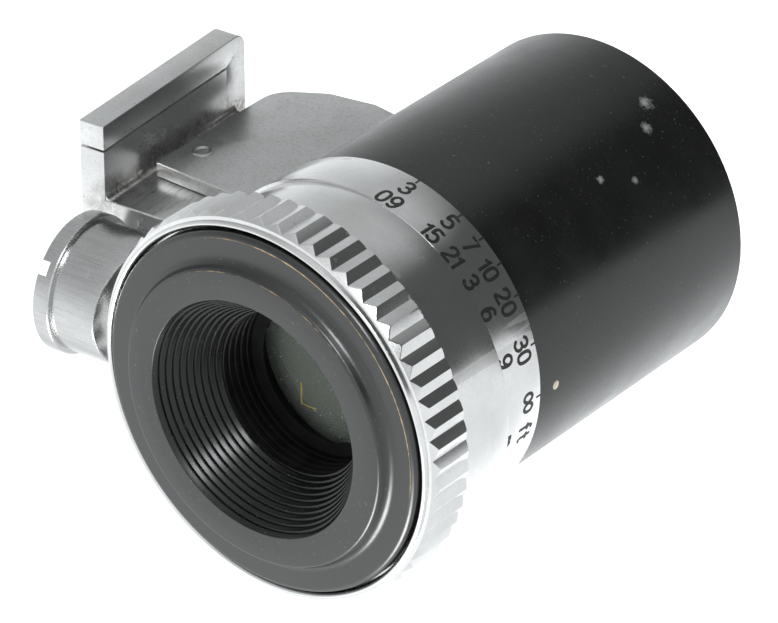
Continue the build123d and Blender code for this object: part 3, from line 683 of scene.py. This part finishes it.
def build_bezel():
    """Flange, raised crown, funnel of sharp ridges and a throat that ends in a narrow stop."""
    first_s, first_r = -0.78, 8.44
    step = (FUNNEL_END - first_s) / RIDGES
    drop = (first_r - THROAT_R) / RIDGES
    outline = [(CROWN_FACE, 8.5, 0.1)]
    for k in range(RIDGES):
        s, r = first_s + step * k, first_r - drop * k
        if k:
            outline += [(s, r, 0)]
        outline += [(s + 0.52 * step, r - 0.52 * drop, 0), (s + 0.6 * step, r - 0.42 * drop + 0.16, 0)]
        outline += [(s + step - 0.03, r - drop + 0.2, 0)]
    outline += [(FUNNEL_END, THROAT_R, 0)]
    groove = THROAT_R + 0.1
    for k in range(4):
        s = 3.75 + 0.62 * k
        outline += [(s, THROAT_R, 0.02), (s + 0.06, groove, 0.02)]
        outline += [(s + 0.2, groove, 0.02), (s + 0.26, THROAT_R, 0.02)]
    outline += [(6.3, THROAT_R, 0.05), (6.36, STOP_R, 0.03), (6.5, STOP_R, 0.03)]
    outline += [(6.6, STOP_R + 0.2, 0), (6.6, 7.2, 0)]
    outline += [(SPIGOT_END, 7.2, 0), (SPIGOT_END, SPIGOT_R, 0), (BEZEL_BACK, SPIGOT_R, 0)]
    outline += [(BEZEL_BACK, BEZEL_R, 0.05), (0.0, BEZEL_R, 0.42), (0.02, 10.9, 0.62)]
    outline += [(-0.83, 10.62, 0.26), (-0.86, 9.6, 0.9)]
    shape = lathe(rounded(outline), 256)
    nodes = ["eyepiece_bezel"]
    bezel = piece("eyepiece_bezel_visual", *shape, OPTICAL, "barrel", BEZEL_BLACK, "black_lacquer", nodes)
    bezel.data.materials.append(THROAT_BLACK)
    bezel.data.materials.append(RIDGE_BLACK)
    for face in bezel.data.polygons:
        if face.center.y > (FUNNEL_END + 0.02) * MM:
            face.material_index = 1
        elif face.center.y > (CROWN_FACE + 0.01) * MM and math.hypot(face.center.x, face.center.z) < 8.6 * MM:
            face.material_index = 2


# ---------------------------------------------------------------- barrel
def build_barrel():
    outline = [
        (1.32, 10.4, 0), (1.32, BARREL_BORE, 0.05), (13.89, BARREL_BORE, 0), (13.89, BARREL_R, 0.08),
        (BARREL_END, BARREL_R, 0.14), (BARREL_END, BARREL_BORE, 0.1),
        (14.72, BARREL_BORE, 0), (14.72, 9.6, 0), (13.12, 9.6, 0), (13.12, 10.4, 0),
    ]
    shape = lathe(rounded(outline), 256)
    piece("barrel_tube_visual", *shape, OPTICAL, "barrel", BARREL_BLACK, "black_lacquer", ["barrel_tube"])


def build_index_dot():
    dome = [(12.16, 0.0), (12.16, 0.34), (12.19, 0.34), (12.215, 0.27), (12.23, 0.14), (12.235, 0.0)]
    off_top = Matrix.Rotation(math.radians(3.0), 4, "Y")
    where = OPTICAL @ off_top @ Matrix.Translation(Vector((0, 15.8, 0)) * MM)
    shape = lathe(dome, 32, None, "z")
    piece("index_dot_visual", *shape, where, "barrel", BRASS, "spring_brass", ["index_dot"])


# ---------------------------------------------------------------- lenses
def hollow(station, depth, radius, steps=12):
    """Points of a dished lens face from just inside its rim to the axis."""
    return [(station + depth * (1 - (k / steps) ** 2), radius * k / steps) for k in range(steps - 1, -1, -1)]


def build_lenses():
    plate = [(8.02, 0.0), (8.02, 8.38), (8.04, 8.4), (8.7, 8.4), (8.72, 8.38), (8.72, 0.0)]
    eye = [(8.74, 0.0), (8.74, 8.4), (9.84, 8.4), (9.84, 7.0)] + hollow(9.84, 0.9, 7.0)
    front = [(31.2, 0.0), (31.2, 11.15), (34.0, 11.15), (34.0, 9.85)] + hollow(34.0, -0.8, 9.85)
    # the frame plate takes the tinted glass with the painted reflection
    lenses = (("frame_plate", plate, TINTED_PLATE_REFLECTION), ("eye_lens", eye, GLASS), ("objective_lens", front, GLASS))
    for node, outline, mat in lenses:
        piece(node + "_visual", *lathe(outline, 128), OPTICAL, "barrel", mat, "glass", [node])


def build_frame_lines():
    """The four yellow corners of the bright-line frame, on the frame plate's rear face."""
    wide, high, level_arm, upright_arm, station = 4.2, 3.1, 1.6, 1.2, 8.0
    shapes = []
    for sx in (-1, 1):
        for sz in (-1, 1):
            corner = [(sx * wide, sz * (high - upright_arm)), (sx * wide, sz * high)]
            corner += [(sx * (wide - level_arm), sz * high)]
            shapes.append(ribbon(corner, 0.12, lambda a, b: (a, station, b)))
    lines = piece("frame_lines", *merged(*shapes), OPTICAL, "barrel", LINE_YELLOW, "glass")
    print_facing(lines.data, lambda c: Vector((0, -1, 0)))


# ---------------------------------------------------------------- hinge bracket
CHEEK_IN, CHEEK_OUT = 3.6, 4.7
FLUSH = 4.66                          # saddle sides and pin rims, just inside the cheeks' outer faces


def build_bracket():
    """Two cheeks joined by a saddle that fits the underside of the barrel."""
    corners = [(14.87, -21.7, 0.25), (27.9, -21.9, 2.6), (30.0, -18.6, 1.5), (30.75, -15.0, 1.2)]
    corners += [(30.3, -11.6, 0.0), (14.87, -11.4, 0.0)]
    cheek = rounded(corners, 8)
    right_cheek = prism(cheek, CHEEK_IN, CHEEK_OUT, 0.12)
    left_cheek = prism(cheek, -CHEEK_OUT, -CHEEK_IN, 0.12)
    arc = [math.radians(DOWN + 22.5 * (k / 8 - 1)) for k in range(17)]
    seat = BARREL_R + 0.02
    top = [(seat * math.cos(t), seat * math.sin(t)) for t in reversed(arc)]
    saddle = swapped(prism([(-FLUSH, -13.3), (FLUSH, -13.3)] + top, 14.9, 30.4, 0.06), (0, 2, 1))
    shape = merged(swapped(right_cheek, (2, 0, 1)), swapped(left_cheek, (2, 0, 1)), saddle)
    piece("bracket_visual", *shape, OPTICAL, "barrel", BRACKET_CHROME, "satin_chrome", ["bracket"])


def build_hinge_pin():
    """Pin with a dimpled, rounded end at each cheek."""
    pin = [(-FLUSH, 0.0), (-FLUSH, 0.3), (-4.76, 0.48), (-4.8, 0.58), (-4.79, 0.68), (-4.72, 0.78)]
    pin += [(-FLUSH, 0.8)]
    pin += [(-a, r) for a, r in reversed(pin)]
    hinge = OPTICAL @ Matrix.Translation(Vector((0, 18.1, -20.1)) * MM)
    where = hinge @ Matrix.Rotation(math.radians(-90), 4, "Z")
    piece("hinge_pin_visual", *lathe(pin, 48), where, "barrel", STEEL, "steel", ["hinge_pin"])


# ---------------------------------------------------------------- shoe foot
def root_fillet(side):
    """Concave fillet between the plate and one side of the block."""
    turns = [math.pi / 2 * (1 - k / 6) for k in range(7)]
    pts = [(side * 3.5, 1.95)]
    pts += [(side * (4.05 - 0.5 * math.sin(t)), 2.5 - 0.5 * math.cos(t)) for t in turns]
    if side > 0:
        pts.reverse()
    return swapped(prism(pts, -8.25, 7.0, 0.01, 1), (0, 2, 1))


def build_foot():
    right = [(STRIP_IN, -TONGUE_BACK, 0.06), (STRIP_IN, 6.1, 0.05), (STRIP_OUT, 6.1, 0.05)]
    right += [(STRIP_OUT, -TONGUE_BACK, 0.06), (TONGUE_HALF, -TONGUE_BACK, 0.08)]
    right += [(TONGUE_HALF, TONGUE_BACK, 1.0)]
    left = [(-x, y, r) for x, y, r in reversed(right)]
    plate = prism(rounded([left[-1]] + right + left[:-1], 6), 0.0, 2.0, 0.05)
    block = [(-STEM_HALF, -TONGUE_BACK, 0.12), (STEM_HALF, -TONGUE_BACK, 0.12), (STEM_HALF, 7.1, 0.3)]
    block += [(-STEM_HALF, 7.1, 0.3)]
    stem = prism(rounded(block, 4), 1.9, 8.6, 0.12)
    web = prism([(-1.6, -11.0), (1.6, -11.0), (1.6, -7.9), (-1.6, -7.9)], 4.57, 8.1, 0.05)
    shape = merged(plate, stem, web, root_fillet(-1), root_fillet(1))
    piece("foot_visual", *shape, AS_MADE, "foot", FOOT_CHROME, "satin_chrome", ["foot"])


# ---------------------------------------------------------------- cam post
RING_SWEEP = 15.6                     # radius of the cut that the ring turns in


def saddle_height(x, y):
    """Height over the foot of the cylinder cut that the ring turns in, at a point of the post."""
    axis = EYE_UP + (EYE_BACK - POST_BACK + y) * math.tan(tilt)
    return axis - math.sqrt(RING_SWEEP**2 - x * x) / math.cos(tilt)


def build_post():
    """Hollow round post; its top follows the cut. Rings are (kind, radius, height or height over the cut)."""
    rings = [("flat", 1.45, POST_UNDERSIDE), ("flat", 4.5, POST_UNDERSIDE), ("flat", 4.58, POST_UNDERSIDE)]
    rings += [("flat", POST_R, 4.57), ("flat", POST_R, 5.5), ("flat", POST_R, 7.0)]
    rings += [("cut", POST_R, -0.14), ("cut", 4.58, -0.06), ("cut", 4.53, -0.015), ("cut", 4.45, 0.0)]
    rings += [("cut", 3.6, 0.0), ("cut", 2.6, 0.0), ("cut", 1.5, 0.0), ("cut", 1.43, -0.05)]
    rings += [("cut", 1.4, -0.12), ("cut", 1.4, -1.5), ("flat", 1.45, 4.8)]
    segs = 192
    verts = []
    for i in range(segs):
        t = 2 * math.pi * i / segs
        for kind, r, h in rings:
            x, y = r * math.cos(t), r * math.sin(t)
            verts.append((x, y, h if kind == "flat" else saddle_height(x, y) + h))
    piece("cam_post", verts, ring_faces(segs, len(rings)), POST, "foot", POST_CHROME, "satin_chrome")


# ---------------------------------------------------------------- adjusting screw and washer
def build_screw():
    head = [(3.0, 0.0, 0), (3.0, SCREW_HEAD_R, 0.2), (WASHER_UNDERSIDE, SCREW_HEAD_R, 0.18)]
    head += [(WASHER_UNDERSIDE, 2.2, 0), (6.75, 2.2, 0.1), (6.75, 0.0, 0)]
    shape = lathe(rounded(head, 6), 192, None, "z")
    nodes = ["adjusting_screw"]
    screw = piece("adjusting_screw_visual", *shape, POST, "foot", POST_CHROME, "satin_chrome", nodes)
    slot = prism([(-0.5, -6), (0.5, -6), (0.5, 6), (-0.5, 6)], 2.0, 3.75, 0.01, 1)
    cutter = bpy.data.objects.new("cutter", solid("cutter", *slot))
    cutter.matrix_world = POST @ Matrix.Rotation(math.radians(SLOT_TURN), 4, "Z")
    bpy.context.collection.objects.link(cutter)
    boolean = screw.modifiers.new("slot", "BOOLEAN")
    boolean.operation = "DIFFERENCE"
    boolean.object = cutter
    boolean.solver = "EXACT"
    graph = bpy.context.evaluated_depsgraph_get()
    cut_mesh = bpy.data.meshes.new_from_object(screw.evaluated_get(graph))
    screw.modifiers.clear()
    screw.data = cut_mesh
    cut_mesh.set_sharp_from_angle(angle=math.radians(32))
    bpy.data.objects.remove(cutter)


def build_washer():
    corners = [(WASHER_UNDERSIDE, 2.25, 0), (POST_UNDERSIDE, 2.25, 0), (POST_UNDERSIDE, 4.58, 0.02)]
    corners += [(WASHER_UNDERSIDE, 4.58, 0.02)]
    shape = lathe(rounded(corners, 3), 128, None, "z")
    piece("screw_washer_visual", *shape, POST, "foot", POST_CHROME, "spring_brass", ["screw_washer"])


# ---------------------------------------------------------------- CAD nodes that stay
STEEL_NODES = ("cam_follower", "return_spring", "bracket_screws", "ring_stop_pin")
BLACK_NODES = ("ring_washer", "eye_lens_cell", "eye_lens_retainer", "spacer_tube", "objective_retainer")


def dress(node, mat):
    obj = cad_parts[node]
    for slot in obj.material_slots:
        slot.material = mat
    if not obj.material_slots:
        obj.data.materials.append(mat)


# ---------------------------------------------------------------- the object
build_ring()
build_scale()
build_bezel()
build_barrel()
build_index_dot()
build_lenses()
build_frame_lines()
build_bracket()
build_hinge_pin()
build_foot()
build_post()
build_screw()
build_washer()
for node in STEEL_NODES:
    dress(node, STEEL)
for node in BLACK_NODES:
    dress(node, INNER_BLACK)

# ---------------------------------------------------------------- stage
floor_look = Look("floor_white", Roughness=0.9, Emission_Strength=0.7)
floor_look.shader.inputs["Emission Color"].default_value = (1, 1, 1, 1)
floor_look.set("Base Color", floor_look.mix(floor_look.noise(12.0), grey(0.86), grey(0.88)))
bpy.ops.mesh.primitive_plane_add(size=6, location=(0, 0, -0.00002))
floor = bpy.context.object
floor.name = "floor"
floor.data.materials.append(floor_look.mat)
floor.visible_glossy = False

world = bpy.data.worlds.new("studio")
bpy.context.scene.world = world
world.use_nodes = True
world.node_tree.nodes["Background"].inputs[0].default_value = (0.97, 1.0, 1.0, 1)
world.node_tree.nodes["Background"].inputs[1].default_value = 0.9

# A large shell that only the object's gloss sees: pale, with dark flags where a studio hangs them.
bpy.ops.mesh.primitive_uv_sphere_add(segments=48, ring_count=24, radius=1.5, location=(0, 0, 0.02))
shell = bpy.context.object
shell.name = "studio_shell"
shell.visible_camera = False
shell.visible_diffuse = False
shell.visible_shadow = False
shell.visible_transmission = False
shell.visible_volume_scatter = False
tent = Look("studio_shell", Roughness=1.0)
unit = tent.node("ShaderNodeVectorMath", operation="NORMALIZE")
tent.link(tent.coord, unit.inputs[0])


def toward(vector):
    """Cosine between the shell's direction and a fixed direction."""
    n = tent.node("ShaderNodeVectorMath", operation="DOT_PRODUCT")
    tent.link(unit.outputs[0], n.inputs[0])
    n.inputs[1].default_value = tuple(Vector(vector).normalized())
    return n.outputs["Value"]


# dark flag above and behind, seen in the middle of the barrel and ring
across = toward((0.77, -0.056, 0.635))
front_half = tent.range(toward((-0.41, 0.64, 0.62)), 0.35, 0.6)
flag = tent.math("MULTIPLY", tent.range(across, -0.85, -0.36), tent.range(across, 0.46, 0.42))
flag = tent.math("MULTIPLY", flag, front_half)
# duller lower left
on_left = tent.range(toward((-1, 0, 0)), -0.1, 0.55)
left_low = tent.math("MULTIPLY", on_left, tent.range(toward((0, 0, -1)), -0.1, 0.4))
bright = tent.range(toward((0.72, 0.68, -0.12)), 0.78, 1.0, 1.0, 1.6)
bright = tent.math("MULTIPLY", bright, tent.range(toward((0.62, -0.52, -0.58)), 0.78, 1.0, 1.0, 1.35))
level = tent.math("MULTIPLY", bright, tent.range(flag, 0.0, 1.0, 1.0, 0.075))
level = tent.math("MULTIPLY", level, tent.range(left_low, 0.0, 1.0, 1.0, 0.55))
# small lamp near the viewer's side, a streak on the funnel's ridges
lamp = tent.range(toward((-0.768, -0.383, 0.508)), 0.985, 0.995, 0.0, 20.0)
level = tent.math("ADD", level, lamp)
tent.shader.inputs["Base Color"].default_value = (0, 0, 0, 1)
tent.shader.inputs["Emission Color"].default_value = (0.97, 1.0, 1.01, 1)
tent.set("Emission Strength", level)
shell.data.materials.append(tent.mat)


def softbox(name, location, target, size, power):
    data = bpy.data.lights.new(name, "AREA")
    data.shape = "RECTANGLE"
    data.size, data.size_y = size
    data.energy = power
    obj = bpy.data.objects.new(name, data)
    bpy.context.collection.objects.link(obj)
    obj.location = location
    obj.rotation_mode = "QUATERNION"
    obj.rotation_quaternion = (Vector(target) - Vector(location)).to_track_quat("-Z", "Y")
    return obj


softbox("side", (0.40, -0.32, 0.10), (0, 0, 0.02), (0.22, 0.22), 2.5)

bpy.context.scene.view_settings.view_transform = "Standard"
